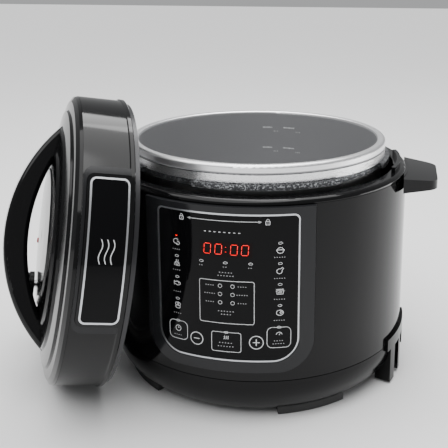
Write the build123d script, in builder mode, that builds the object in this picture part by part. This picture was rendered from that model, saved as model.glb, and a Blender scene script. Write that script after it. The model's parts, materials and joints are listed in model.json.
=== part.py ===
from build123d import *
import math
import os

os.makedirs("parts", exist_ok=True)

# ---- body sizes (mm) ----
wall_r = 136.0
wall_thick = 2.8
seam_z = 39.0
wall_top_z = 186.0
ring_top_z = 190.6
ring_inner_r = 124.2
well_floor_z = 184.0
foot_h = 8.0
foot_azimuths = [-57.0, -139.0, 123.0, 41.0]
handle_reach = 163.0
handle_root_w = 80.0
handle_tip_w = 60.0

# ---- cooking pot and its heated holder ----
pot_in_r = 109.0
pot_thick = 2.0
pot_floor_z = 58.0
lip_r = 116.6
lip_low_z = 205.7
lip_top_z = 213.0
holder_in_r = 111.8
holder_thick = 1.6
flange_r = 120.6
flange_low_z = 193.5
flange_top_z = 198.0
lug_count = 4
lug_width = 60.0
lug_first = -75.5

# ---- control panel on the front (chord sizes) ----
bezel_half_w = 68.5
bezel_low_z = 48.6
panel_half_w = 57.4
panel_low_z = 57.6
panel_high_z = 180.6
panel_r = 139.4

# ---- lid, drawn closed and locked ----
skirt_r = 125.0
skirt_thick = 2.4
skirt_low_z = 191.5
skirt_top_z = 231.5
lid_lip_r = 126.0
lid_metal_r = 122.4
lid_metal_in_r = 121.2
lid_lug_in_r = 118.4
lid_lug_width = 27.0
lid_lug_first = -73.5
disc_low_z = 222.5
disc_top_z = 225.0
dome = [(124.7, 231.5), (124.0, 234.0), (119.8, 236.6), (112.0, 237.8), (110.6, 239.6), (96.5, 241.8)]
dome += [(95.1, 243.4), (79.0, 245.0), (77.6, 246.4), (60.0, 247.7), (58.8, 248.7), (30.0, 249.8), (0.0, 250.2)]
dome_thick = 3.0
handle_end_x = 108.0
handle_half_w = 16.0
arch_top_z = 281.5
arch_under_z = 261.5
vent_xy = (-46.0, 34.0)
float_xy = (-8.0, 52.0)
float_travel = 3.0
pivot_z = 227.5

# ---- where the lid stands, leaning beside the body ----
lean_tilt = 9.2
lean_azimuth = 208.0
lean_out = 140.8
lean_up = 124.7
lean_turn = 43.0


def save(solid, name):
    solid.label = name
    export_step(solid, "parts/" + name + ".step")


def make_ring(profile):
    """A round part from its section, given as radius and height pairs."""
    with BuildPart() as ring:
        with BuildSketch(Plane.XZ):
            with BuildLine():
                Polyline(*profile, close=True)
            make_face()
        revolve(axis=Axis.Z)
    return ring


def make_front_shell(r_in, r_out, half_w, z_low, z_high, r_bottom, r_top):
    """A curved plate on the front of a cylinder, with rounded corners."""
    with BuildPart() as shell:
        with BuildSketch(Plane.XY.offset(z_low - 5)):
            Circle(r_out)
            Circle(r_in, mode=Mode.SUBTRACT)
        extrude(amount=z_high - z_low + 10)
        with BuildSketch(Plane.XZ) as face:
            with Locations((0, (z_low + z_high) / 2)):
                Rectangle(2 * half_w, z_high - z_low)
            if r_bottom > 0:
                fillet(face.vertices().group_by(Axis.Y)[0], r_bottom)
            if r_top > 0:
                fillet(face.vertices().group_by(Axis.Y)[-1], r_top)
        extrude(amount=r_out + 5, mode=Mode.INTERSECT)
    return shell


def add_sectors(r_in, r_out, z_low, z_high, count, width, first):
    """Ring sectors of the given width in degrees, added to the part being built."""
    for k in range(count):
        middle = first + 360.0 / count * k
        with BuildSketch(Plane.XY.offset(z_low).rotated((0, 0, middle))) as piece:
            with BuildLine():
                a = math.radians(width / 2)
                p1 = (r_in * math.cos(a), -r_in * math.sin(a))
                p2 = (r_out * math.cos(a), -r_out * math.sin(a))
                p3 = (r_out * math.cos(a), r_out * math.sin(a))
                p4 = (r_in * math.cos(a), r_in * math.sin(a))
                Line(p1, p2)
                ThreePointArc(p2, (r_out, 0), p3)
                Line(p3, p4)
                ThreePointArc(p4, (r_in, 0), p1)
            make_face()
        extrude(piece.sketch, amount=z_high - z_low)


# ================= base =================
with BuildPart() as base_ring:
    with BuildSketch(Plane.XZ):
        with BuildLine():
            ThreePointArc((wall_r, seam_z - 0.6), (132.9, 20.5), (124.0, foot_h))
            Line((124.0, foot_h), (110.0, foot_h))
            Line((110.0, foot_h), (110.0, 11.0))
            Line((110.0, 11.0), (122.6, 11.0))
            ThreePointArc((122.6, 11.0), (130.0, 21.6), (133.0, seam_z - 0.6))
            Line((133.0, seam_z - 0.6), (wall_r, seam_z - 0.6))
        make_face()
    revolve(axis=Axis.Z)
    with BuildSketch(Plane.XY.offset(28.0)):
        Circle(133.1)
        Circle(130.9, mode=Mode.SUBTRACT)
    extrude(amount=18.0)
save(base_ring.part, "base_ring")

with BuildPart() as bottom_cover:
    with BuildSketch(Plane.XY.offset(foot_h)):
        Circle(109.6)
        with PolarLocations(62.0, 10):
            SlotOverall(26.0, 3.4, rotation=90, mode=Mode.SUBTRACT)
        with PolarLocations(100.0, 4, start_angle=90):
            Circle(1.7, mode=Mode.SUBTRACT)
    extrude(amount=2.4)
    with BuildSketch(Plane.XY.offset(10.4)):
        with PolarLocations(100.0, 4, start_angle=90):
            Circle(4.0)
            Circle(1.7, mode=Mode.SUBTRACT)
    extrude(amount=8.0)
save(bottom_cover.part, "bottom_cover")

with BuildPart() as bottom_screws:
    for k in range(4):
        spot = Plane.XY.offset(6.0).rotated((0, 0, 90.0 * k))
        with BuildSketch(spot):
            with Locations((0, 100.0)):
                Circle(3.4)
        extrude(amount=2.0)
        with BuildSketch(Plane.XY.offset(8.0).rotated((0, 0, 90.0 * k))):
            with Locations((0, 100.0)):
                Circle(1.65)
        extrude(amount=9.0)
save(bottom_screws.part, "bottom_screws")

for number, azimuth in enumerate(foot_azimuths, start=1):
    with BuildPart() as foot:
        add_sectors(115.0, 122.6, 0.0, foot_h, 1, 29.0, azimuth)
        fillet(foot.edges().group_by(Axis.Z)[0], 1.0)
    save(foot.part, "foot_" + str(number))

# ================= housing =================
with BuildPart() as housing_wall:
    with BuildSketch(Plane.XY.offset(seam_z)):
        Circle(wall_r)
        Circle(wall_r - wall_thick, mode=Mode.SUBTRACT)
    extrude(amount=wall_top_z - seam_z)
    with BuildSketch(Plane.YZ.rotated((0, 0, 50.0))):
        with Locations((0, 62.0)):
            Rectangle(34.4, 26.4)
    extrude(amount=160.0, mode=Mode.SUBTRACT)
save(housing_wall.part, "housing_wall")

with BuildPart() as top_ring:
    with BuildSketch(Plane.XZ):
        with BuildLine():
            Line((wall_r, wall_top_z + 0.1), (wall_r, 187.0))
            ThreePointArc((wall_r, 187.0), (134.7, 189.6), (131.6, ring_top_z))
            Polyline(
                (131.6, ring_top_z),
                (125.0, ring_top_z),
                (ring_inner_r, 189.8),
                (ring_inner_r, well_floor_z),
                (114.4, well_floor_z),
                (114.4, 181.6),
                (128.6, 181.6),
                (128.6, 178.0),
                (132.9, 178.0),
                (132.9, wall_top_z + 0.1),
                (wall_r, wall_top_z + 0.1),
            )
        make_face()
    revolve(axis=Axis.Z)
    add_sectors(127.4, 130.8, 189.0, 195.4, 2, 30.0, 0.0)
    for side in (0.0, 180.0):
        with BuildSketch(Plane.XY.offset(173.0).rotated((0, 0, side))) as grip:
            with BuildLine():
                Polyline(
                    (134.0, -handle_root_w / 2),
                    (handle_reach, -handle_tip_w / 2),
                    (handle_reach, handle_tip_w / 2),
                    (134.0, handle_root_w / 2),
                    close=True,
                )
            make_face()
            fillet(grip.vertices().group_by(SortBy.DISTANCE)[-1], 12.0)
        extrude(amount=15.0)
    with BuildSketch(Plane.XY.offset(150.0)):
        Circle(wall_r + 0.3)
    extrude(amount=wall_top_z + 0.3 - 150.0, mode=Mode.SUBTRACT)
    with BuildSketch(Plane.XZ):
        with BuildLine():
            Polyline((135.5, 160.0), (170.0, 160.0), (170.0, 177.2), (135.5, 174.0), close=True)
        make_face()
    revolve(axis=Axis.Z, mode=Mode.SUBTRACT)
    with BuildSketch(Plane.XZ):
        with BuildLine():
            Polyline((138.0, 187.2), (170.0, 183.6), (170.0, 195.0), (138.0, 195.0), close=True)
        make_face()
    revolve(axis=Axis.Z, mode=Mode.SUBTRACT)
save(top_ring.part, "top_ring")

# ================= holder, heater and pot =================
holder_out_r = holder_in_r + holder_thick
outer_pot = make_ring(
    [
        (88.0, 45.0),
        (holder_out_r, 45.0),
        (holder_out_r, flange_low_z),
        (holder_in_r, flange_low_z),
        (holder_in_r, 46.8),
        (88.0, 46.8),
    ]
)
save(outer_pot.part, "outer_pot")

bayonet_body = make_ring(
    [(holder_in_r, flange_low_z), (lip_r, flange_low_z), (lip_r, 205.5), (holder_in_r, 205.5)]
)
with BuildPart() as bayonet_ring:
    add(bayonet_body.part)
    add_sectors(lip_r - 1.0, flange_r, flange_low_z, flange_top_z, lug_count, lug_width, lug_first)
save(bayonet_ring.part, "bayonet_ring")

inner_pot_body = make_ring(
    [
        (0.0, pot_floor_z - 2.5),
        (97.0, pot_floor_z - 2.5),
        (pot_in_r + pot_thick, 71.0),
        (pot_in_r + pot_thick, lip_low_z),
        (lip_r, lip_low_z),
        (lip_r, lip_top_z),
        (pot_in_r, lip_top_z),
        (pot_in_r, 72.0),
        (96.0, pot_floor_z),
        (0.0, pot_floor_z),
    ]
)
with BuildPart() as inner_pot:
    add(inner_pot_body.part)
    fillet(inner_pot.edges().group_by(Axis.Z)[-1], 2.6)
save(inner_pot.part, "inner_pot")

with BuildPart() as heating_plate:
    with BuildSketch(Plane.XY.offset(46.9)):
        Circle(95.0)
        Circle(14.0, mode=Mode.SUBTRACT)
    extrude(amount=8.5)
save(heating_plate.part, "heating_plate")

with BuildPart() as heater_tube:
    with BuildSketch(Plane.XZ):
        with Locations((62.0, 42.9)):
            Circle(3.95)
    revolve(axis=Axis.Z, revolution_arc=320.0)
save(heater_tube.part, "heater_tube")

with BuildPart() as sensor_bracket:
    with BuildSketch(Plane.XY.offset(32.0)):
        Circle(31.0)
        Circle(5.6, mode=Mode.SUBTRACT)
    extrude(amount=2.0)
    with BuildSketch(Plane.XY.offset(34.0)):
        with PolarLocations(26.0, 3):
            Circle(2.6)
    extrude(amount=12.9)
save(sensor_bracket.part, "sensor_bracket")

with BuildPart() as sensor_head:
    with BuildSketch(Plane.XY.offset(48.0)):
        Circle(12.5)
    extrude(amount=7.4)
    with BuildSketch(Plane.XY.offset(29.5)):
        Circle(5.0)
    extrude(amount=19.0)
save(sensor_head.part, "sensor_head")

with BuildPart() as sensor_spring:
    with BuildLine():
        coil = Helix(pitch=3.6, height=12.4, radius=7.8, center=(0, 0, 34.8))
    with BuildSketch(Plane(origin=coil @ 0, z_dir=coil % 0)):
        Circle(0.6)
    sweep()
save(sensor_spring.part, "sensor_spring")

# ================= control panel =================
bezel_shell = make_front_shell(wall_r + 0.1, 140.2, bezel_half_w, bezel_low_z, 185.9, 27.0, 0)
with BuildPart() as panel_bezel:
    add(bezel_shell.part)
    with BuildSketch(Plane.XZ) as window:
        with Locations((0, (panel_low_z + panel_high_z) / 2)):
            Rectangle(2 * panel_half_w + 0.4, panel_high_z - panel_low_z + 0.4)
        fillet(window.vertices().group_by(Axis.Y)[0], 20.2)
        fillet(window.vertices().group_by(Axis.Y)[-1], 5.2)
    extrude(amount=160.0, mode=Mode.SUBTRACT)
save(panel_bezel.part, "panel_bezel")

frame_shell = make_front_shell(
    wall_r + 0.1, panel_r, panel_half_w, panel_low_z, panel_high_z, 20.0, 5.0
)
with BuildPart() as panel_frame:
    add(frame_shell.part)
    with BuildSketch(Plane.XZ) as window:
        with Locations((0, (panel_low_z + panel_high_z) / 2)):
            Rectangle(2 * panel_half_w - 2.8, panel_high_z - panel_low_z - 2.8)
        fillet(window.vertices().group_by(Axis.Y)[0], 18.6)
        fillet(window.vertices().group_by(Axis.Y)[-1], 3.6)
    extrude(amount=160.0, mode=Mode.SUBTRACT)
save(panel_frame.part, "panel_frame")

overlay_low = panel_low_z + 1.5
overlay_high = panel_high_z - 1.5
panel_overlay = make_front_shell(
    wall_r + 0.1, panel_r - 0.6, panel_half_w - 1.5, overlay_low, overlay_high, 18.5, 3.5
)
save(panel_overlay.part, "panel_overlay")

with BuildPart() as control_board:
    with BuildSketch(Plane.XZ.offset(119.0)):
        with Locations((0, 112.0)):
            Rectangle(90.0, 100.0)
    extrude(amount=1.6)
    with BuildSketch(Plane.XZ.offset(120.6)):
        with Locations((-38.0, 124.0), (38.0, 124.0)):
            with GridLocations(1.0, 17.0, 1, 4):
                Rectangle(6.0, 6.0)
        with Locations((0, 75.0)):
            with GridLocations(22.0, 1.0, 3, 1):
                Rectangle(6.0, 6.0)
    extrude(amount=3.4)
save(control_board.part, "control_board")

with BuildPart() as display_module:
    with BuildSketch(Plane.XZ.offset(120.65)):
        with Locations((0.6, 151.4)):
            Rectangle(40.0, 14.0)
    extrude(amount=7.0)
save(display_module.part, "display_module")

with BuildPart() as power_board:
    with Locations((-66.0, 52.0, 20.0)):
        Box(46.0, 38.0, 1.6)
    with Locations((-74.0, 58.0, 27.7)):
        Box(16.0, 14.0, 14.0)
    with Locations((-54.0, 56.0, 25.7)):
        Box(12.0, 16.0, 10.0)
    with Locations((-62.0, 40.0, 26.7)):
        Cylinder(5.0, 12.0)
    with Locations((-80.0, 38.0, 14.85), (-52.0, 38.0, 14.85), (-80.0, 66.0, 14.85)):
        Cylinder(2.0, 8.8)
save(power_board.part, "power_board")

# ================= power inlet, at the back =================
inlet_place = Plane.XY.rotated((0, 0, 50.0)).location
with BuildPart() as inlet_socket:
    with Locations(inlet_place * Location((129.4, 0, 62.0))):
        Box(17.0, 34.0, 26.0)
    with Locations(inlet_place * Location((133.4, 0, 62.0))):
        Box(16.0, 26.0, 18.0, mode=Mode.SUBTRACT)
save(inlet_socket.part, "inlet_socket")

with BuildPart() as inlet_pins:
    for y in (-7.0, 0.0, 7.0):
        with Locations(inlet_place * Location((129.95, y, 62.0), (0, 90, 0))):
            Cylinder(1.5, 9.0)
save(inlet_pins.part, "inlet_pins")

# ================= condensate cup, at the back =================
with BuildPart() as cup_pegs:
    with Locations((0, 138.0, 142.0)):
        Box(36.0, 6.0, 22.0)
    with Locations((-11.0, 146.0, 142.0), (11.0, 146.0, 142.0)):
        Cylinder(2.4, 12.0, rotation=(90, 0, 0))
    Cylinder(wall_r + 0.05, 400.0, mode=Mode.SUBTRACT)
save(cup_pegs.part, "cup_pegs")

with BuildPart() as condensate_cup:
    with Locations((0, 152.6, 132.0)):
        Box(50.0, 22.8, 44.0)
    fillet(condensate_cup.edges().filter_by(Axis.Z).group_by(Axis.Y)[-1], 8.0)
    with Locations((0, 152.6, 135.0)):
        Box(45.0, 17.8, 44.0, mode=Mode.SUBTRACT)
    with Locations((-11.0, 142.0, 142.0), (11.0, 142.0, 142.0)):
        Cylinder(2.6, 8.0, rotation=(90, 0, 0), mode=Mode.SUBTRACT)
save(condensate_cup.part, "condensate_cup")

# ================= cord hooks, low on the right =================
with BuildPart() as base_filled:
    with BuildSketch(Plane.XZ):
        with BuildLine():
            ThreePointArc((wall_r + 0.1, seam_z), (133.1, 20.5), (124.2, foot_h))
            Polyline((124.2, foot_h), (124.2, -5.0), (0.0, -5.0), (0.0, 60.0), (wall_r + 0.1, 60.0))
            Line((wall_r + 0.1, 60.0), (wall_r + 0.1, seam_z))
        make_face()
    revolve(axis=Axis.Z)
with BuildPart() as cord_hooks:
    add_sectors(134.0, 138.6, 34.0, 45.0, 1, 30.0, -9.0)
    add_sectors(131.0, 138.6, 18.0, 40.0, 1, 1.6, -1.0)
    add_sectors(124.0, 138.6, 3.0, 40.0, 1, 2.6, -10.0)
    add_sectors(122.0, 138.6, 2.0, 40.0, 1, 4.4, -19.0)
    add(base_filled.part, mode=Mode.SUBTRACT)
save(cord_hooks.part, "cord_hooks")

# ================= lid, drawn closed and then stood in its leaning place =================
inward = math.radians(lean_azimuth - 180.0)
tilt = math.radians(lean_tilt)
inward_x = math.cos(inward)
inward_y = math.sin(inward)
pivot_up = pivot_z - skirt_low_z
lean_axis = (-inward_x * math.cos(tilt), -inward_y * math.cos(tilt), math.sin(tilt))
swing = math.radians(lean_turn) - inward
lean_side = (
    inward_x * math.sin(tilt) * math.cos(swing) - inward_y * math.sin(swing),
    inward_y * math.sin(tilt) * math.cos(swing) + inward_x * math.sin(swing),
    math.cos(tilt) * math.cos(swing),
)
lean_place = Plane(
    origin=(
        -inward_x * lean_out + lean_axis[0] * pivot_up,
        -inward_y * lean_out + lean_axis[1] * pivot_up,
        lean_up + lean_axis[2] * pivot_up,
    ),
    x_dir=lean_side,
    z_dir=lean_axis,
).location
lean = lean_place * Location((0, 0, -pivot_z))


def save_lid(solid, name):
    save(solid.moved(lean), name)


lid_skirt = make_ring(
    [
        (skirt_r - skirt_thick, skirt_low_z),
        (lid_lip_r - 0.8, skirt_low_z),
        (lid_lip_r, skirt_low_z + 0.8),
        (lid_lip_r, skirt_low_z + 3.6),
        (skirt_r, skirt_low_z + 4.4),
        (skirt_r, skirt_top_z - 0.1),
        (skirt_r - skirt_thick, skirt_top_z - 0.1),
    ]
)
save_lid(lid_skirt.part, "lid_skirt")

dome_filled = make_ring(dome + [(0.0, 200.0), (124.7, 200.0)])
dome_inside = [(max(r - dome_thick, 0.0), z - dome_thick) for r, z in dome]
dome_inside[0] = (121.7, 231.5)
dome_inside[-1] = (0.0, dome[-1][1] - dome_thick)
lid_cover_body = make_ring(dome + dome_inside[::-1])
vent_z = 248.0
with BuildPart() as lid_cover:
    add(lid_cover_body.part)
    with Locations((vent_xy[0], vent_xy[1], 247.0)):
        Cylinder(4.2, 20.0, mode=Mode.SUBTRACT)
    with Locations((float_xy[0], float_xy[1], 247.0)):
        Cylinder(3.2, 20.0, mode=Mode.SUBTRACT)
save_lid(lid_cover.part, "lid_cover")

with BuildPart() as lid_handle:
    with BuildSketch(Plane.XZ) as arch:
        with BuildLine():
            ThreePointArc((-handle_end_x, 229.0), (0.0, arch_top_z), (handle_end_x, 229.0))
            Line((handle_end_x, 229.0), (70.0, 229.0))
            Line((70.0, 229.0), (70.0, 244.0))
            ThreePointArc((70.0, 244.0), (0.0, arch_under_z), (-70.0, 244.0))
            Line((-70.0, 244.0), (-70.0, 229.0))
            Line((-70.0, 229.0), (-handle_end_x, 229.0))
        make_face()
    extrude(amount=handle_half_w, both=True)
    fillet(lid_handle.edges().filter_by(GeomType.CIRCLE), 4.0)
    with BuildSketch(Plane.XZ):
        with BuildLine():
            ThreePointArc((-46.0, 240.0), (0.0, arch_under_z + 2.6), (46.0, 240.0))
            Line((46.0, 240.0), (-46.0, 240.0))
        make_face()
    extrude(amount=11.5, both=True, mode=Mode.SUBTRACT)
    add(dome_filled.part, mode=Mode.SUBTRACT)
save_lid(lid_handle.part, "lid_handle")

with BuildPart() as handle_pad:
    with BuildSketch(Plane.XZ):
        with BuildLine():
            ThreePointArc((-46.0, 239.95), (0.0, arch_under_z + 2.55), (46.0, 239.95))
            Line((46.0, 239.95), (-46.0, 239.95))
        make_face()
        with BuildLine():
            ThreePointArc((70.0, 244.0), (0.0, arch_under_z), (-70.0, 244.0))
            Line((-70.0, 244.0), (-70.0, 230.0))
            Line((-70.0, 230.0), (70.0, 230.0))
            Line((70.0, 230.0), (70.0, 244.0))
        make_face(mode=Mode.SUBTRACT)
    extrude(amount=11.4, both=True)
save_lid(handle_pad.part, "handle_pad")

# ---- raised front of the lid ----
surround_shell = make_front_shell(skirt_r + 0.1, 131.0, 62.0, skirt_low_z + 4.6, skirt_top_z, 0, 9.0)
with BuildPart() as lid_surround:
    add(surround_shell.part)
    with BuildSketch(Plane.XZ) as window:
        with Locations((0, 210.0)):
            Rectangle(113.4, 38.4)
        fillet(window.vertices().group_by(Axis.Y)[-1], 6.2)
    extrude(amount=160.0, mode=Mode.SUBTRACT)
save_lid(lid_surround.part, "lid_surround")

lid_block = make_front_shell(skirt_r + 0.1, 132.8, 56.5, skirt_low_z + 4.6, 229.0, 0, 6.0)
save_lid(lid_block.part, "lid_block")

plate_frame_shell = make_front_shell(132.85, 134.8, 54.0, 197.4, 227.0, 5.0, 5.0)
with BuildPart() as lid_plate_frame:
    add(plate_frame_shell.part)
    with BuildSketch(Plane.XZ) as window:
        with Locations((0, 212.2)):
            Rectangle(105.2, 26.8)
        fillet(window.vertices(), 3.6)
    extrude(amount=160.0, mode=Mode.SUBTRACT)
save_lid(lid_plate_frame.part, "lid_plate_frame")

lid_plate = make_front_shell(132.85, 134.2, 52.5, 198.9, 225.5, 3.5, 3.5)
save_lid(lid_plate.part, "lid_plate")

# ---- inside of the lid ----
lid_rim_body = make_ring(
    [
        (lid_metal_in_r, 187.5),
        (lid_metal_r, 187.5),
        (lid_metal_r, disc_low_z),
        (lid_metal_in_r, disc_low_z),
    ]
)
with BuildPart() as lid_rim:
    add(lid_rim_body.part)
    add_sectors(
        lid_lug_in_r, lid_metal_in_r + 0.5, 187.5, 192.0, lug_count, lid_lug_width, lid_lug_first
    )
save_lid(lid_rim.part, "lid_rim")

with BuildPart() as inner_lid:
    with BuildSketch(Plane.XY.offset(disc_low_z)):
        Circle(lid_metal_r)
        with Locations(vent_xy):
            Circle(3.2, mode=Mode.SUBTRACT)
        with Locations(float_xy):
            Circle(3.1, mode=Mode.SUBTRACT)
        with PolarLocations(64.0, 3, start_angle=90):
            Circle(1.7, mode=Mode.SUBTRACT)
    extrude(amount=disc_top_z - disc_low_z)
save_lid(inner_lid.part, "inner_lid")

with BuildPart() as lid_screws:
    with BuildSketch(Plane.XY.offset(disc_low_z - 1.8)):
        with PolarLocations(64.0, 3, start_angle=90):
            Circle(3.6)
    extrude(amount=1.8)
    with BuildSketch(Plane.XY.offset(disc_low_z)):
        with PolarLocations(64.0, 3, start_angle=90):
            Circle(1.65)
    extrude(amount=10.0)
save_lid(lid_screws.part, "lid_screws")

sealing_ring = make_ring(
    [
        (109.0, 221.8),
        (109.6, 218.2),
        (112.0, 214.0),
        (113.2, 213.4),
        (115.8, 213.4),
        (116.6, 214.2),
        (113.2, 217.0),
        (113.2, 219.4),
        (116.8, 219.4),
        (120.9, 217.2),
        (120.9, 222.4),
        (109.0, 222.4),
    ]
)
save_lid(sealing_ring.part, "sealing_ring")

with BuildPart() as seal_rack:
    with BuildSketch(Plane.XZ):
        with Locations((106.6, 216.4)):
            Circle(1.5)
    revolve(axis=Axis.Z)
    add_sectors(105.6, 107.6, 215.8, 222.4, 4, 1.2, 45.0)
save_lid(seal_rack.part, "seal_rack")

# ---- steam vent ----
with BuildPart() as vent_pipe:
    with Locations((vent_xy[0], vent_xy[1], 238.3)):
        Cylinder(3.1, 32.0)
    with Locations((vent_xy[0], vent_xy[1], 228.0)):
        Cylinder(6.5, 5.9)
    with Locations((vent_xy[0], vent_xy[1], 238.3)):
        Cylinder(1.2, 40.0, mode=Mode.SUBTRACT)
save_lid(vent_pipe.part, "vent_pipe")

with BuildPart() as vent_knob:
    with Locations((vent_xy[0], vent_xy[1], 252.7)):
        Cylinder(11.0, 4.4)
    fillet(vent_knob.edges().group_by(Axis.Z)[-1], 1.2)
    with BuildSketch(Plane.XY.offset(254.5)):
        with Locations(vent_xy):
            SlotOverall(20.0, 5.0)
    extrude(amount=3.6)
    with Locations((vent_xy[0], vent_xy[1], 251.0)):
        Cylinder(3.15, 7.0, mode=Mode.SUBTRACT)
save_lid(vent_knob.part, "vent_knob")

with BuildPart() as vent_shield:
    with Locations((vent_xy[0], vent_xy[1], 219.2)):
        Cylinder(9.0, 6.4)
        Cylinder(7.8, 5.2, mode=Mode.SUBTRACT)
        Cylinder(3.15, 20.0, mode=Mode.SUBTRACT)
    with Locations((vent_xy[0], vent_xy[1], 219.2)):
        with PolarLocations(8.4, 6):
            Box(3.0, 3.2, 3.6, mode=Mode.SUBTRACT)
save_lid(vent_shield.part, "vent_shield")

# ---- pressure float ----
with BuildPart() as float_pin:
    with Locations((float_xy[0], float_xy[1], 232.0)):
        Cylinder(2.3, 36.0)
    with Locations((float_xy[0], float_xy[1], 215.0)):
        Cylinder(4.6, 2.2)
    fillet(float_pin.edges().group_by(Axis.Z)[-1], 0.6)
save_lid(float_pin.part, "float_pin")

with BuildPart() as float_seal:
    with Locations((float_xy[0], float_xy[1], 220.9)):
        Cylinder(6.4, 3.0)
        Cylinder(2.7, 10.0, mode=Mode.SUBTRACT)
save_lid(float_seal.part, "float_seal")

# ---- centre swivel between the dome and the metal lid ----
with BuildPart() as lid_pivot_ball:
    with Locations((0, 0, pivot_z)):
        Sphere(2.4)
save_lid(lid_pivot_ball.part, "lid_pivot_ball")

with BuildPart() as lid_pivot_pin:
    with Locations((0, 0, 238.55)):
        Cylinder(2.0, 17.1)
    with Locations((0, 0, 231.0)):
        Cylinder(4.0, 2.0)
save_lid(lid_pivot_pin.part, "lid_pivot_pin")

with BuildPart() as lid_pivot_cup:
    with Locations((0, 0, 227.1)):
        Cylinder(7.0, 4.1)
        Cylinder(2.5, 10.0, mode=Mode.SUBTRACT)
save_lid(lid_pivot_cup.part, "lid_pivot_cup")
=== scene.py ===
import json
import math

import bpy
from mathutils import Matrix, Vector


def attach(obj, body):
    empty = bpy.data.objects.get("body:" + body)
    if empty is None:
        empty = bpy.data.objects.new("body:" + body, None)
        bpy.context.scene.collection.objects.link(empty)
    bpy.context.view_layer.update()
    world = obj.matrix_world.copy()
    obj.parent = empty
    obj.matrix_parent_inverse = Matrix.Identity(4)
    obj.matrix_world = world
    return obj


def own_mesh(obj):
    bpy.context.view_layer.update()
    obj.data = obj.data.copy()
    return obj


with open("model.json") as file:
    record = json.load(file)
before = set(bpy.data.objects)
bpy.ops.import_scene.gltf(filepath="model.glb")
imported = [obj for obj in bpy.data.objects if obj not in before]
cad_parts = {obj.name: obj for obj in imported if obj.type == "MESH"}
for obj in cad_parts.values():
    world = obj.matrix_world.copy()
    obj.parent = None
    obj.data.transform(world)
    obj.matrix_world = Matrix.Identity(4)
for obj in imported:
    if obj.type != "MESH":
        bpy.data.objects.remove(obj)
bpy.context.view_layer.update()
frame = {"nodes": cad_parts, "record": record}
nodes = frame["nodes"]

MM = 0.001


def deselect():
    """Nothing selected, so that an operator only touches the new piece."""
    for o in bpy.context.selected_objects:
        o.select_set(False)


# ---------------------------------------------------------------- surface effects
def new_group(name, inputs, outputs):
    """An empty node group that works from the object's own coordinates."""
    group = bpy.data.node_groups.new(name, "ShaderNodeTree")
    for label, value in inputs:
        socket = group.interface.new_socket(name=label, in_out="INPUT", socket_type="NodeSocketFloat")
        socket.default_value = value
    for label, kind in outputs:
        group.interface.new_socket(name=label, in_out="OUTPUT", socket_type=kind)
    start = group.nodes.new("NodeGroupInput")
    end = group.nodes.new("NodeGroupOutput")
    place = group.nodes.new("ShaderNodeTexCoord")
    return group, start, end, place


def add_math(group, operation, second=None):
    """A Math node, with its second number set if it is fixed."""
    step = group.nodes.new("ShaderNodeMath")
    step.operation = operation
    if second is not None:
        step.inputs[1].default_value = second
    return step


def make_fine_grain():
    """Roughness spread and a slight waviness, for moulded plastic and painted metal."""
    group, start, end, place = new_group(
        "fine grain",
        (("Base", 0.2), ("Spread", 0.05), ("Scale", 60.0), ("Height", 0.02)),
        (("Roughness", "NodeSocketFloat"), ("Normal", "NodeSocketVector")),
    )
    link = group.links.new
    cloud = group.nodes.new("ShaderNodeTexNoise")
    cloud.inputs["Detail"].default_value = 5.0
    centre = add_math(group, "SUBTRACT", 0.5)
    spread = add_math(group, "MULTIPLY_ADD")
    bump = group.nodes.new("ShaderNodeBump")
    bump.inputs["Distance"].default_value = MM
    link(place.outputs["Object"], cloud.inputs["Vector"])
    link(start.outputs["Scale"], cloud.inputs["Scale"])
    link(cloud.outputs["Fac"], centre.inputs[0])
    link(centre.outputs[0], spread.inputs[0])
    link(start.outputs["Spread"], spread.inputs[1])
    link(start.outputs["Base"], spread.inputs[2])
    link(spread.outputs[0], end.inputs["Roughness"])
    link(cloud.outputs["Fac"], bump.inputs["Height"])
    link(start.outputs["Height"], bump.inputs["Strength"])
    link(bump.outputs["Normal"], end.inputs["Normal"])
    return group


def make_rim_mask():
    """1 where a point is between two heights and outside a radius, 0 elsewhere."""
    group, start, end, place = new_group(
        "rim mask",
        (("Height", 0.2), ("Top", 1.0), ("Radius", 0.1)),
        (("Mask", "NodeSocketFloat"),),
    )
    link = group.links.new
    split = group.nodes.new("ShaderNodeSeparateXYZ")
    flat = group.nodes.new("ShaderNodeCombineXYZ")
    length = group.nodes.new("ShaderNodeVectorMath")
    length.operation = "LENGTH"
    above = add_math(group, "GREATER_THAN")
    below = add_math(group, "LESS_THAN")
    outside = add_math(group, "GREATER_THAN")
    between = add_math(group, "MULTIPLY")
    both = add_math(group, "MULTIPLY")
    link(place.outputs["Object"], split.inputs[0])
    link(split.outputs["X"], flat.inputs["X"])
    link(split.outputs["Y"], flat.inputs["Y"])
    link(flat.outputs[0], length.inputs[0])
    link(split.outputs["Z"], above.inputs[0])
    link(start.outputs["Height"], above.inputs[1])
    link(split.outputs["Z"], below.inputs[0])
    link(start.outputs["Top"], below.inputs[1])
    link(length.outputs["Value"], outside.inputs[0])
    link(start.outputs["Radius"], outside.inputs[1])
    link(above.outputs[0], between.inputs[0])
    link(below.outputs[0], between.inputs[1])
    link(between.outputs[0], both.inputs[0])
    link(outside.outputs[0], both.inputs[1])
    link(both.outputs[0], end.inputs["Mask"])
    return group


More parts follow.
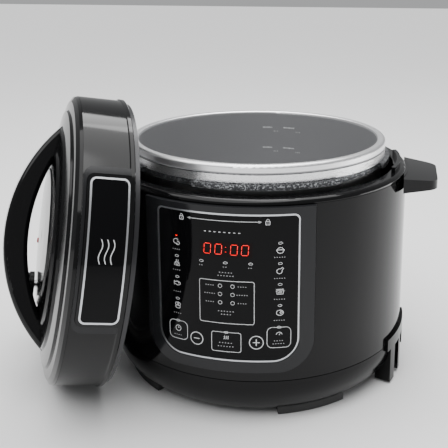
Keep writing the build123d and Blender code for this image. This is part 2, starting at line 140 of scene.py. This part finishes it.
def make_speckle():
    """Small light flecks with a soft edge, for cast metal."""
    group, start, end, place = new_group(
        "speckle", (("Scale", 900.0), ("Amount", 0.6)), (("Mask", "NodeSocketFloat"),)
    )
    link = group.links.new
    cloud = group.nodes.new("ShaderNodeTexNoise")
    cloud.inputs["Detail"].default_value = 2.0
    cut = group.nodes.new("ShaderNodeMapRange")
    top = add_math(group, "ADD", 0.08)
    link(place.outputs["Object"], cloud.inputs["Vector"])
    link(start.outputs["Scale"], cloud.inputs["Scale"])
    link(cloud.outputs["Fac"], cut.inputs["Value"])
    link(start.outputs["Amount"], cut.inputs["From Min"])
    link(start.outputs["Amount"], top.inputs[0])
    link(top.outputs[0], cut.inputs["From Max"])
    link(cut.outputs["Result"], end.inputs["Mask"])
    return group


FINE_GRAIN = make_fine_grain()
RIM_MASK = make_rim_mask()
SPECKLE = make_speckle()


def make_material(
    name, colour, roughness, metallic=0.0, spread=0.05, scale=60.0, height=0.02, gloss=0.5
):
    """A Principled material with a little grain in its roughness and surface."""
    material = bpy.data.materials.new(name)
    material.use_nodes = True
    tree = material.node_tree
    shader = tree.nodes["Principled BSDF"]
    shader.inputs["Base Color"].default_value = (colour[0], colour[1], colour[2], 1.0)
    shader.inputs["Metallic"].default_value = metallic
    shader.inputs["Specular IOR Level"].default_value = gloss
    grain = tree.nodes.new("ShaderNodeGroup")
    grain.node_tree = FINE_GRAIN
    grain.inputs["Base"].default_value = roughness
    grain.inputs["Spread"].default_value = spread
    grain.inputs["Scale"].default_value = scale
    grain.inputs["Height"].default_value = height
    tree.links.new(grain.outputs["Roughness"], shader.inputs["Roughness"])
    tree.links.new(grain.outputs["Normal"], shader.inputs["Normal"])
    return material


def two_colours(material, group, settings, other, metal=None):
    """Mixes a second colour, and if asked a second metal value, by a mask group."""
    tree = material.node_tree
    shader = tree.nodes["Principled BSDF"]
    mask = tree.nodes.new("ShaderNodeGroup")
    mask.node_tree = group
    for label, value in settings.items():
        mask.inputs[label].default_value = value
    mix = tree.nodes.new("ShaderNodeMix")
    mix.data_type = "RGBA"
    earlier = shader.inputs["Base Color"].links
    if earlier:
        tree.links.new(earlier[0].from_socket, mix.inputs["A"])
    else:
        mix.inputs["A"].default_value = shader.inputs["Base Color"].default_value
    mix.inputs["B"].default_value = (other[0], other[1], other[2], 1.0)
    tree.links.new(mask.outputs["Mask"], mix.inputs["Factor"])
    tree.links.new(mix.outputs["Result"], shader.inputs["Base Color"])
    if metal is not None:
        level = tree.nodes.new("ShaderNodeMapRange")
        level.inputs["To Min"].default_value = shader.inputs["Metallic"].default_value
        level.inputs["To Max"].default_value = metal
        tree.links.new(mask.outputs["Mask"], level.inputs["Value"])
        tree.links.new(level.outputs["Result"], shader.inputs["Metallic"])


def glow(name, colour, strength):
    """Lit plastic, for the digits and the small lamp."""
    material = make_material(name, colour, 0.3)
    shader = material.node_tree.nodes["Principled BSDF"]
    shader.inputs["Emission Color"].default_value = (colour[0], colour[1], colour[2], 1.0)
    shader.inputs["Emission Strength"].default_value = strength
    return material


gloss_black = make_material(
    "gloss black plastic", (0.003, 0.003, 0.0033), 0.09, spread=0.04, height=0.006, gloss=0.25
)
wall_black = make_material(
    "black painted wall", (0.003, 0.003, 0.0033), 0.1, spread=0.04, height=0.004, gloss=0.2
)
satin_black = make_material(
    "satin black plastic", (0.003, 0.003, 0.0033), 0.18, scale=300.0, height=0.03, gloss=0.16
)
dark_grey = make_material(
    "dark grey surround", (0.0115, 0.0118, 0.013), 0.16, scale=200.0, height=0.02, gloss=0.24
)
silver_trim = make_material("silver trim", (0.55, 0.56, 0.58), 0.3, metallic=1.0, scale=400.0)
panel_black = make_material(
    "panel gloss", (0.0024, 0.0024, 0.0028), 0.07, spread=0.02, height=0.003, gloss=0.1
)
pot_metal = make_material(
    "pot coating and lip", (0.3, 0.302, 0.31), 0.34, metallic=0.35, scale=500.0, height=0.03
)
POT_LIP = {"Height": 0.2068, "Radius": 0.1098}
two_colours(pot_metal, RIM_MASK, POT_LIP, (0.9, 0.9, 0.91), metal=1.0)
holder_metal = make_material(
    "cast holder and rim", (0.06, 0.061, 0.065), 0.34, metallic=0.6, scale=900.0, height=0.3
)
CAST_FLECKS = {"Scale": 700.0, "Amount": 0.52}
FLECK_GREY = (0.34, 0.35, 0.36)
two_colours(holder_metal, SPECKLE, CAST_FLECKS, FLECK_GREY)
bayonet_metal = make_material(
    "bright rim over cast lugs", (0.05, 0.051, 0.055), 0.24, metallic=0.75, scale=900.0, height=0.25
)
two_colours(bayonet_metal, SPECKLE, CAST_FLECKS, FLECK_GREY)
LIP_BAND = {"Height": 0.1983, "Top": 0.2049, "Radius": 0.1}
two_colours(bayonet_metal, RIM_MASK, LIP_BAND, (0.88, 0.88, 0.89), metal=1.0)
rim_steel = make_material("dark steel rim", (0.03, 0.03, 0.032), 0.3, metallic=0.5, scale=250.0)
aluminium = make_material("aluminium", (0.8, 0.8, 0.81), 0.3, metallic=1.0, scale=250.0)
steel = make_material("steel", (0.6, 0.6, 0.61), 0.26, metallic=1.0, scale=250.0)
rubber = make_material("black rubber", (0.02, 0.02, 0.02), 0.65, scale=300.0, height=0.08)
silicone = make_material("clear silicone", (0.66, 0.66, 0.64), 0.45, scale=200.0)
board = make_material("circuit board", (0.02, 0.13, 0.06), 0.4, scale=200.0)
screen_dark = make_material(
    "display window", (0.004, 0.0006, 0.0006), 0.08, spread=0.02, height=0.004, gloss=0.1
)
brass = make_material("brass", (0.72, 0.55, 0.25), 0.28, metallic=1.0)
cup_plastic = make_material("smoky cup plastic", (0.3, 0.31, 0.33), 0.16)
cup_plastic.node_tree.nodes["Principled BSDF"].inputs["Transmission Weight"].default_value = 0.7
red_plastic = make_material("red plastic", (0.45, 0.02, 0.02), 0.25)
print_white = make_material("light grey print", (0.62, 0.63, 0.64), 0.4)
print_dim = make_material("dim print", (0.34, 0.34, 0.35), 0.4)
red_glow = glow("lit red", (1.0, 0.004, 0.001), 1.7)

PAINT = {
    "gloss_black": gloss_black,
    "satin_black": satin_black,
    "dark_grey": dark_grey,
    "silver_trim": silver_trim,
    "panel_black": panel_black,
    "pot_coating": pot_metal,
    "grey_metal": holder_metal,
    "aluminium": aluminium,
    "steel": steel,
    "rubber_black": rubber,
    "silicone": silicone,
    "board_green": board,
    "display_dark": screen_dark,
    "brass_pins": brass,
    "cup_clear": cup_plastic,
    "float_red": red_plastic,
}


def paint(name, material):
    """The material of a CAD node, in place of what it had."""
    shown = nodes[name].data.materials
    shown.clear()
    shown.append(material)


for part in frame["record"]["subparts"]:
    paint(part["node"], PAINT[part["material_slot"]])
paint("housing_wall", wall_black)
paint("bayonet_ring", bayonet_metal)
paint("lid_rim", rim_steel)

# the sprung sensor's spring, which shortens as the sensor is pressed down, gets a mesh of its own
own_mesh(nodes["sensor_spring"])

# ---------------------------------------------------------------- where things are
PANEL_R = 138.8 * MM  # faces that carry print
PLATE_R = 134.2 * MM
POT_R = 109.0 * MM
# how the lid leans: its axis and its mouth's centre, as in the frame at rest
LEAN_TILT = math.radians(9.2)
LEAN_TOWARD = math.radians(28.0)
LEAN_OUT = 140.8 * MM
LEAN_UP = 124.7 * MM
LEAN_TURN = math.radians(43.0)
SKIRT_LOW = 191.5 * MM  # the skirt's lower edge on the closed lid

inward = Vector((math.cos(LEAN_TOWARD), math.sin(LEAN_TOWARD), 0.0))
upward = Vector((0.0, 0.0, 1.0))
lid_axis = -inward * math.cos(LEAN_TILT) + upward * math.sin(LEAN_TILT)
lid_up = inward * math.sin(LEAN_TILT) + upward * math.cos(LEAN_TILT)
lid_across = upward.cross(inward)
swing = LEAN_TURN - LEAN_TOWARD
lid_x = lid_up * math.cos(swing) + lid_across * math.sin(swing)
lid_y = lid_axis.cross(lid_x)
lid_mouth = -inward * LEAN_OUT + upward * LEAN_UP


def lid_point(x, y, z):
    """A point given for the closed and locked lid, where the leaning lid has it."""
    return lid_mouth + lid_x * x + lid_y * y + lid_axis * (z - SKIRT_LOW)


def panel_point(across, height, depth):
    """A point on the curved panel, a little below its face."""
    angle = across / PANEL_R
    r = PANEL_R - depth
    return Vector((r * math.sin(angle), -r * math.cos(angle), height))


def plate_point(across, height, depth):
    """A point on the lid's plate, given as on the closed lid."""
    angle = across / PLATE_R
    r = PLATE_R - depth
    return lid_point(r * math.sin(angle), -r * math.cos(angle), height)


# ---------------------------------------------------------------- printed lines
PROUD = 0.1  # mm that a printed line stands above its face


def short_steps(points, longest=2.0):
    """The same line with no step over a few millimetres, so that it follows a curved face."""
    fine = [points[0]]
    for (x0, y0), (x1, y1) in zip(points, points[1:]):
        count = max(1, math.ceil(math.hypot(x1 - x0, y1 - y0) / longest))
        for k in range(1, count + 1):
            fine.append((x0 + (x1 - x0) * k / count, y0 + (y1 - y0) * k / count))
    return fine


def draw(name, strokes, where, material, body):
    """Printed marks: each stroke is a list of points in mm and a width, laid on a curved face."""
    deselect()
    curve = bpy.data.curves.new(name, "CURVE")
    curve.dimensions = "3D"
    curve.bevel_depth = MM
    curve.bevel_resolution = 3
    curve.use_fill_caps = True
    for points, width in strokes:
        tube = (width * width / 4.0 + PROUD * PROUD) / (2.0 * PROUD)
        line = curve.splines.new("POLY")
        closed = len(points) > 2 and points[0] == points[-1]
        kept = short_steps(points)
        if closed:
            kept = kept[:-1]
        line.points.add(len(kept) - 1)
        line.use_cyclic_u = closed
        for k, (across, height) in enumerate(kept):
            spot = where(across * MM, height * MM, (tube - PROUD) * MM)
            line.points[k].co = (spot.x, spot.y, spot.z, 1.0)
            line.points[k].radius = tube
    piece = bpy.data.objects.new(name, curve)
    bpy.context.scene.collection.objects.link(piece)
    piece.data.materials.append(material)
    piece.select_set(True)
    bpy.context.view_layer.objects.active = piece
    bpy.ops.object.convert(target="MESH")
    piece.select_set(False)
    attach(piece, body)


def arc(cx, cy, rx, ry, start=0.0, end=360.0, steps=20):
    """Points on part of an oval. A full turn closes exactly."""
    points = []
    for k in range(steps + 1):
        a = math.radians(start + (end - start) * k / steps)
        points.append((cx + rx * math.cos(a), cy + ry * math.sin(a)))
    if abs(end - start) == 360.0:
        points[-1] = points[0]
    return points


def rounded_box(x0, y0, x1, y1, r):
    """A closed box with quarter rounds at its corners."""
    corners = ((x1 - r, y1 - r, 0), (x0 + r, y1 - r, 90), (x0 + r, y0 + r, 180), (x1 - r, y0 + r, 270))
    points = []
    for cx, cy, first in corners:
        points += arc(cx, cy, r, r, first, first + 90, 5)
    points.append(points[0])
    return points


ICON_LINE = 0.55


def path(cx, cy, *steps):
    """A line through points given from a centre."""
    return [(cx + x, cy + y) for x, y in steps]


def bars(cx, cy, widths, gap=1.9, thick=0.75):
    """Rows of short bars that stand in for a word or two."""
    rows = []
    step = 2.6 * thick
    for k, width in enumerate(widths):
        y = cy - gap * (k - (len(widths) - 1) / 2.0)
        count = max(2, round(width / step))
        for j in range(count):
            x = cx + (j - count / 2.0) * step + 0.1 * thick
            rows.append(([(x, y), (x + step - 1.5 * thick, y)], thick))
    return rows


def icon(kind, cx, cy):
    """Small line drawings of foods and pots."""
    lines = []
    if kind == "bean":
        lines.append(arc(cx - 0.4, cy + 0.5, 2.5, 2.0, 40, 300, 16))
        lines.append(arc(cx + 1.0, cy - 0.9, 1.6, 1.5, -170, 110, 12))
    if kind == "soup":
        lines.append(path(cx, cy, (-2.6, -2.2), (2.6, -2.2), (1.7, 0.6), (-1.7, 0.6), (-2.6, -2.2)))
        lines.append(arc(cx, cy - 0.4, 1.2, 1.0))
        for k in (-0.8, 0.8):
            lines.append(path(cx + k, cy, (0.0, 1.2), (0.5, 2.0), (0.0, 2.7)))
    if kind == "fish":
        lines.append(arc(cx + 0.3, cy, 2.4, 1.6, -150, 150, 16))
        lines.append(path(cx, cy, (-1.8, 0.8), (-3.0, 1.6), (-3.0, -1.6), (-1.8, -0.8)))
        lines.append(arc(cx + 1.3, cy + 0.4, 0.3, 0.3, 0, 360, 8))
    if kind == "greens":
        lines.append(arc(cx - 1.0, cy + 1.2, 1.3, 1.3))
        lines.append(arc(cx + 1.1, cy + 1.0, 1.2, 1.4))
        lines.append(arc(cx, cy - 1.2, 2.2, 1.3))
        lines.append(path(cx, cy, (0.0, 2.2), (0.4, 3.1)))
    if kind == "bowl":
        lines.append(arc(cx, cy - 0.2, 2.8, 2.6, 180, 360, 14))
        lines.append(path(cx, cy, (-3.3, 0.0), (3.3, 0.0)))
        lines.append(arc(cx, cy, 2.3, 1.9, 10, 170, 12))
    if kind == "leg":
        lines.append(arc(cx - 0.6, cy - 0.3, 2.1, 2.0, 70, 380, 18))
        lines.append(path(cx, cy, (0.1, 1.6), (1.8, 2.8), (2.6, 2.0), (1.4, 0.4)))
    if kind == "pot":
        lines.append(path(cx, cy, (-2.5, 1.0), (-2.5, -2.2), (2.5, -2.2), (2.5, 1.0), (-2.5, 1.0)))
        lines.append(path(cx, cy, (-3.4, 0.3), (-2.5, 0.3)))
        lines.append(path(cx, cy, (2.5, 0.3), (3.4, 0.3)))
        lines.append(path(cx, cy, (-3.0, 1.8), (3.0, 1.8)))
        for k in (-1, 0, 1):
            lines.append(path(cx + k, cy, (-0.3, -1.4), (0.3, 0.2)))
    if kind == "steak":
        lines.append(arc(cx, cy, 2.8, 2.2))
        lines.append(arc(cx + 1.0, cy + 0.2, 0.9, 0.8))
    if kind == "clock":
        lines.append(arc(cx, cy, 2.4, 2.4))
        lines.append(path(cx, cy, (0.0, 1.3), (0.0, 0.0), (1.0, 0.6)))
    if kind == "gauge":
        lines.append(arc(cx, cy - 0.8, 2.4, 2.4, 10, 170, 12))
        lines.append(path(cx, cy, (0.0, -0.8), (0.8, 0.5)))
    if kind == "heat":
        for k in (-1.5, 0, 1.5):
            lines.append(path(cx + k, cy, (-0.4, -1.4), (0.2, -0.4), (-0.2, 0.4), (0.4, 1.4)))
    return [(line, ICON_LINE) for line in lines]


def led(cx, cy):
    """The small oval outline of an unlit lamp."""
    return (arc(cx, cy, 1.6, 0.85, 0, 360, 14), 0.4)


white = []
dim = []
lit = []

# lock marks and the turning arrow
for cx, open_side in ((-35.9, True), (33.3, False)):
    white.append((rounded_box(cx - 1.6, 172.2, cx + 1.6, 174.9, 0.3), 0.55))
    shackle = arc(cx, 175.0, 1.1, 1.7, 0, 150 if open_side else 180, 10)
    white.append((shackle, 0.45))
    white.append(([(cx, 173.2), (cx, 174.0)], 0.5))
white.append(([(-29.2, 174.4), (27.2, 174.4)], 0.5))
for tip, back in ((-30.6, -28.2), (28.6, 26.2)):
    white.append(([(back, 175.2), (tip, 174.4), (back, 173.6), (back, 175.2)], 0.4))
white += bars(-1.2, 165.2, [30.0], thick=1.5)

# round marks for the pressure levels, with their bars
for cx in (-19.2, 0.3, 20.1):
    white.append(led(cx, 140.4))
    dim += bars(cx, 136.9, [4.6])
dim += bars(1.0, 131.0, [11.0, 15.0], gap=2.6, thick=0.9)

# framed group with six small rings
white.append((rounded_box(-21.0, 89.7, 22.9, 125.4, 1.6), 0.5))
for row, cy in enumerate((121.1, 114.2, 107.2)):
    for cx, side in ((-4.1, -1), (5.9, 1)):
        white.append((arc(cx, cy, 1.5, 1.5, 0, 360, 14), 0.35))
        dim += bars(cx + side * 8.0, cy, [(8.5, 10.0, 7.0)[row]])
dim += bars(1.1, 98.6, [13.0, 10.0], gap=2.6, thick=0.9)

# the two columns of programmes
LEFT_U = -40.9
RIGHT_U = 43.1
for kind, led_z, icon_z, word_z in (
    ("bean", 158.2, 152.8, 146.6),
    ("soup", 141.1, 135.2, 129.2),
    ("fish", 123.4, 117.9, 110.8),
    ("greens", 104.9, 98.9, 92.2),
):
    if kind != "bean":
        white.append(led(LEFT_U, led_z))
    white += icon(kind, LEFT_U, icon_z)
    dim += bars(LEFT_U, word_z, [7.6])
for kind, led_z, icon_z, word_z in (
    ("bowl", 157.2, 151.7, 145.7),
    ("leg", 140.5, 134.5, 128.3),
    ("pot", 123.3, 117.4, 110.9),
    ("steak", 105.6, 99.5, 93.1),
):
    white.append(led(RIGHT_U, led_z))
    white += icon(kind, RIGHT_U, icon_z)
    dim += bars(RIGHT_U, word_z, [9.0])
lit.append(([(LEFT_U - 0.9, 158.2), (LEFT_U + 0.9, 158.2)], 1.5))

# the bottom row of keys
white.append((rounded_box(-49.2, 70.0, -32.4, 85.8, 4.0), 0.5))
white.append(led(LEFT_U, 85.8))
white += icon("clock", LEFT_U, 79.2)
dim += bars(LEFT_U, 73.4, [7.0])
white.append((arc(-24.2, 73.6, 5.3, 5.3, 0, 360, 28), 0.7))
white.append(([(-26.6, 73.6), (-21.8, 73.6)], 0.9))
white.append((rounded_box(-11.4, 65.4, 12.4, 82.0, 1.8), 0.5))
white.append(led(0.6, 82.0))
white += icon("heat", 0.6, 77.6)
dim += bars(0.6, 71.4, [12.0, 13.0], gap=3.0, thick=0.9)
white.append((arc(24.6, 74.4, 5.5, 5.5, 0, 360, 28), 0.7))
white.append(([(21.8, 74.4), (27.4, 74.4)], 0.9))
white.append(([(24.6, 71.6), (24.6, 77.2)], 0.9))
white.append((rounded_box(33.0, 69.8, 52.0, 87.2, 4.0), 0.5))
white.append(led(42.6, 87.2))
white += icon("gauge", 42.6, 81.4)
dim += bars(42.6, 74.4, [8.0, 10.0], gap=2.5, thick=0.8)

# four clock digits, all zero, and the colon
for left in (-17.3, -8.4, 4.0, 12.6):
    x0, x1, y0, y1, lean = left + 0.3, left + 5.6, 147.2, 155.4, 0.5
    middle = (y0 + y1) / 2.0
    for a, b in (
        ((x0 + 0.5, y0), (x1 - 0.5, y0)),
        ((x0 + lean + 0.5, y1), (x1 + lean - 0.5, y1)),
        ((x0, y0 + 0.6), (x0 + lean / 2, middle - 0.4)),
        ((x0 + lean / 2, middle + 0.4), (x0 + lean, y1 - 0.6)),
        ((x1, y0 + 0.6), (x1 + lean / 2, middle - 0.4)),
        ((x1 + lean / 2, middle + 0.4), (x1 + lean, y1 - 0.6)),
    ):
        lit.append(([a, b], 1.15))
for cy in (149.4, 153.2):
    lit.append(([(0.3, cy), (1.1, cy)], 0.8))

draw("panel_print", white, panel_point, print_white, "housing")
draw("panel_print_small", dim, panel_point, print_dim, "housing")
draw("panel_lit_digits", lit, panel_point, red_glow, "housing")

# the display window under the digits
deselect()
WINDOW_PLACE = (0.0006, -0.16, 0.1513)  # in front of the panel, before it is laid on
WINDOW_SIZE = (0.0415, 0.0125, 1.0)
upright = (math.radians(90), 0, 0)
bpy.ops.mesh.primitive_plane_add(size=1.0, location=WINDOW_PLACE, rotation=upright)
window = bpy.context.active_object
window.name = "display_window"
window.scale = WINDOW_SIZE
bpy.ops.object.transform_apply(location=True, rotation=True, scale=True)
bpy.ops.object.mode_set(mode="EDIT")
bpy.ops.mesh.select_all(action="SELECT")
bpy.ops.mesh.subdivide(number_cuts=23)
bpy.ops.object.mode_set(mode="OBJECT")
wrap = window.modifiers.new("lay on panel", "SHRINKWRAP")
wrap.target = nodes["panel_overlay"]
wrap.wrap_method = "PROJECT"
wrap.use_project_y = True
wrap.use_positive_direction = True
wrap.use_negative_direction = False
wrap.offset = 0.04 * MM
bpy.ops.object.modifier_apply(modifier=wrap.name)
window.data.materials.append(screen_dark)
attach(window, "housing")

# a small wavy mark on the lid's plate
WAVE_STEPS = 14
ONE_WAVE = 6.283  # radians
WAVE_HEIGHT = 1.2
mark = []
for rise in (-4.4, 0.0, 4.4):
    wave = []
    for t in range(WAVE_STEPS + 1):
        share = t / WAVE_STEPS
        wave.append((-9.0 + 18.0 * share, 212.0 + rise + WAVE_HEIGHT * math.sin(share * ONE_WAVE)))
    mark.append((wave, 1.3))
draw("lid_plate_mark", mark, plate_point, print_white, "lid")


# level lines inside the pot
def pot_point(across, height, depth):
    """On the pot's inner wall, at the back; across runs along the wall."""
    angle = math.radians(104.0) - across / POT_R
    r = POT_R + depth
    return Vector((r * math.cos(angle), r * math.sin(angle), height))


TOP_LEVEL = 196.0
LEVEL_STEP = 22.0
levels = []
for k in range(5):
    z = TOP_LEVEL - LEVEL_STEP * k
    for start, end in ((12.0, 22.0), (34.0, 46.0)):
        levels.append(([(start, z), (end, z)], 0.7))
        levels.append(([(start, z - 0.6), (end, z - 0.6)], 0.7))
        levels += bars(end + 4.5, z - 4.0, [5.0], thick=0.7)
        levels += bars(end + 4.5, z - 4.6, [5.0], thick=0.7)
draw("pot_level_lines", levels, pot_point, print_white, "pot")

# ---------------------------------------------------------------- floor, light, camera
deselect()
bpy.ops.mesh.primitive_plane_add(size=12.0, location=(0, 0, -0.0002))
floor = bpy.context.active_object
floor.name = "floor"
floor_paint = make_material("pale floor", (0.86, 0.86, 0.86), 0.5, scale=3.0, height=0.0)
floor.data.materials.append(floor_paint)

world = bpy.data.worlds.new("studio")
bpy.context.scene.world = world
world.use_nodes = True
world.node_tree.nodes["Background"].inputs["Color"].default_value = (0.93, 0.94, 0.95, 1.0)
world.node_tree.nodes["Background"].inputs["Strength"].default_value = 0.45

EYE = Vector((0.12665, -0.68089, 0.3662))  # where the camera stands


def softbox(name, place, target, width, height, power):
    """A rectangular lamp that faces a point and isn't seen itself."""
    lamp = bpy.data.lights.new(name, "AREA")
    lamp.shape = "RECTANGLE"
    lamp.size = width
    lamp.size_y = height
    lamp.energy = power
    holder = bpy.data.objects.new(name, lamp)
    bpy.context.scene.collection.objects.link(holder)
    holder.location = place
    holder.visible_camera = False
    facing = Vector(target) - Vector(place)
    holder.rotation_euler = facing.to_track_quat("-Z", "Y").to_euler()


def mirrored_softbox(name, spot, outward, distance, width, height, power):
    """A lamp on the line that the eye sees mirrored at a spot on the object."""
    seen = (spot - EYE).normalized()
    bounce = seen - 2.0 * seen.dot(outward) * outward
    softbox(name, spot + bounce * distance, spot, width, height, power)


softbox("top softbox", (0.3, 0.2, 1.6), (0.0, 0.0, 0.1), 1.4, 1.2, 22.0)
sky = bpy.data.lights.new("even light from above", "SUN")
sky.energy = 3.4
sky.angle = math.radians(70.0)
sky_holder = bpy.data.objects.new(sky.name, sky)
bpy.context.scene.collection.objects.link(sky_holder)
sky_holder.rotation_euler = (math.radians(18.0), math.radians(-12.0), 0.0)

WALL_R = 136.0 * MM
SKIRT_R = 125.0 * MM
SKIRT_MIDDLE = 212.0 * MM


def wall_spot(turn, height):
    """A point on the housing's wall and the way it faces."""
    outward = Vector((math.cos(math.radians(turn)), math.sin(math.radians(turn)), 0.0))
    return outward * WALL_R + upward * height, outward


def skirt_spot(turn):
    """A point on the lid's skirt and the way it faces; the plate is at turn -90."""
    a = math.radians(turn)
    spot = lid_point(SKIRT_R * math.cos(a), SKIRT_R * math.sin(a), SKIRT_MIDDLE)
    return spot, (spot - lid_point(0.0, 0.0, SKIRT_MIDDLE)).normalized()


# this lamp stands half under the floor: the wall mirrors the floor that it brightens
spot, outward = wall_spot(-35.0, 0.12)
mirrored_softbox("band on the wall", spot, outward, 1.2, 0.95, 1.3, 21.0)
spot, outward = skirt_spot(-38.0)
mirrored_softbox("light high on the skirt", spot, outward, 1.0, 0.5, 0.3, 4.0)

LOOK_DOWN = 12.56  # degrees below level
LOOK_LEFT = 0.1919  # radians from the +Y direction
camera_data = bpy.data.cameras.new("camera")
camera = bpy.data.objects.new("camera", camera_data)
bpy.context.scene.collection.objects.link(camera)
camera_data.lens = 61.5
camera_data.sensor_width = 36.0
camera_data.shift_x = -0.0623
camera_data.shift_y = -0.2
camera.location = EYE
camera.rotation_euler = (math.radians(90.0 - LOOK_DOWN), 0.0, LOOK_LEFT)
bpy.context.scene.camera = camera
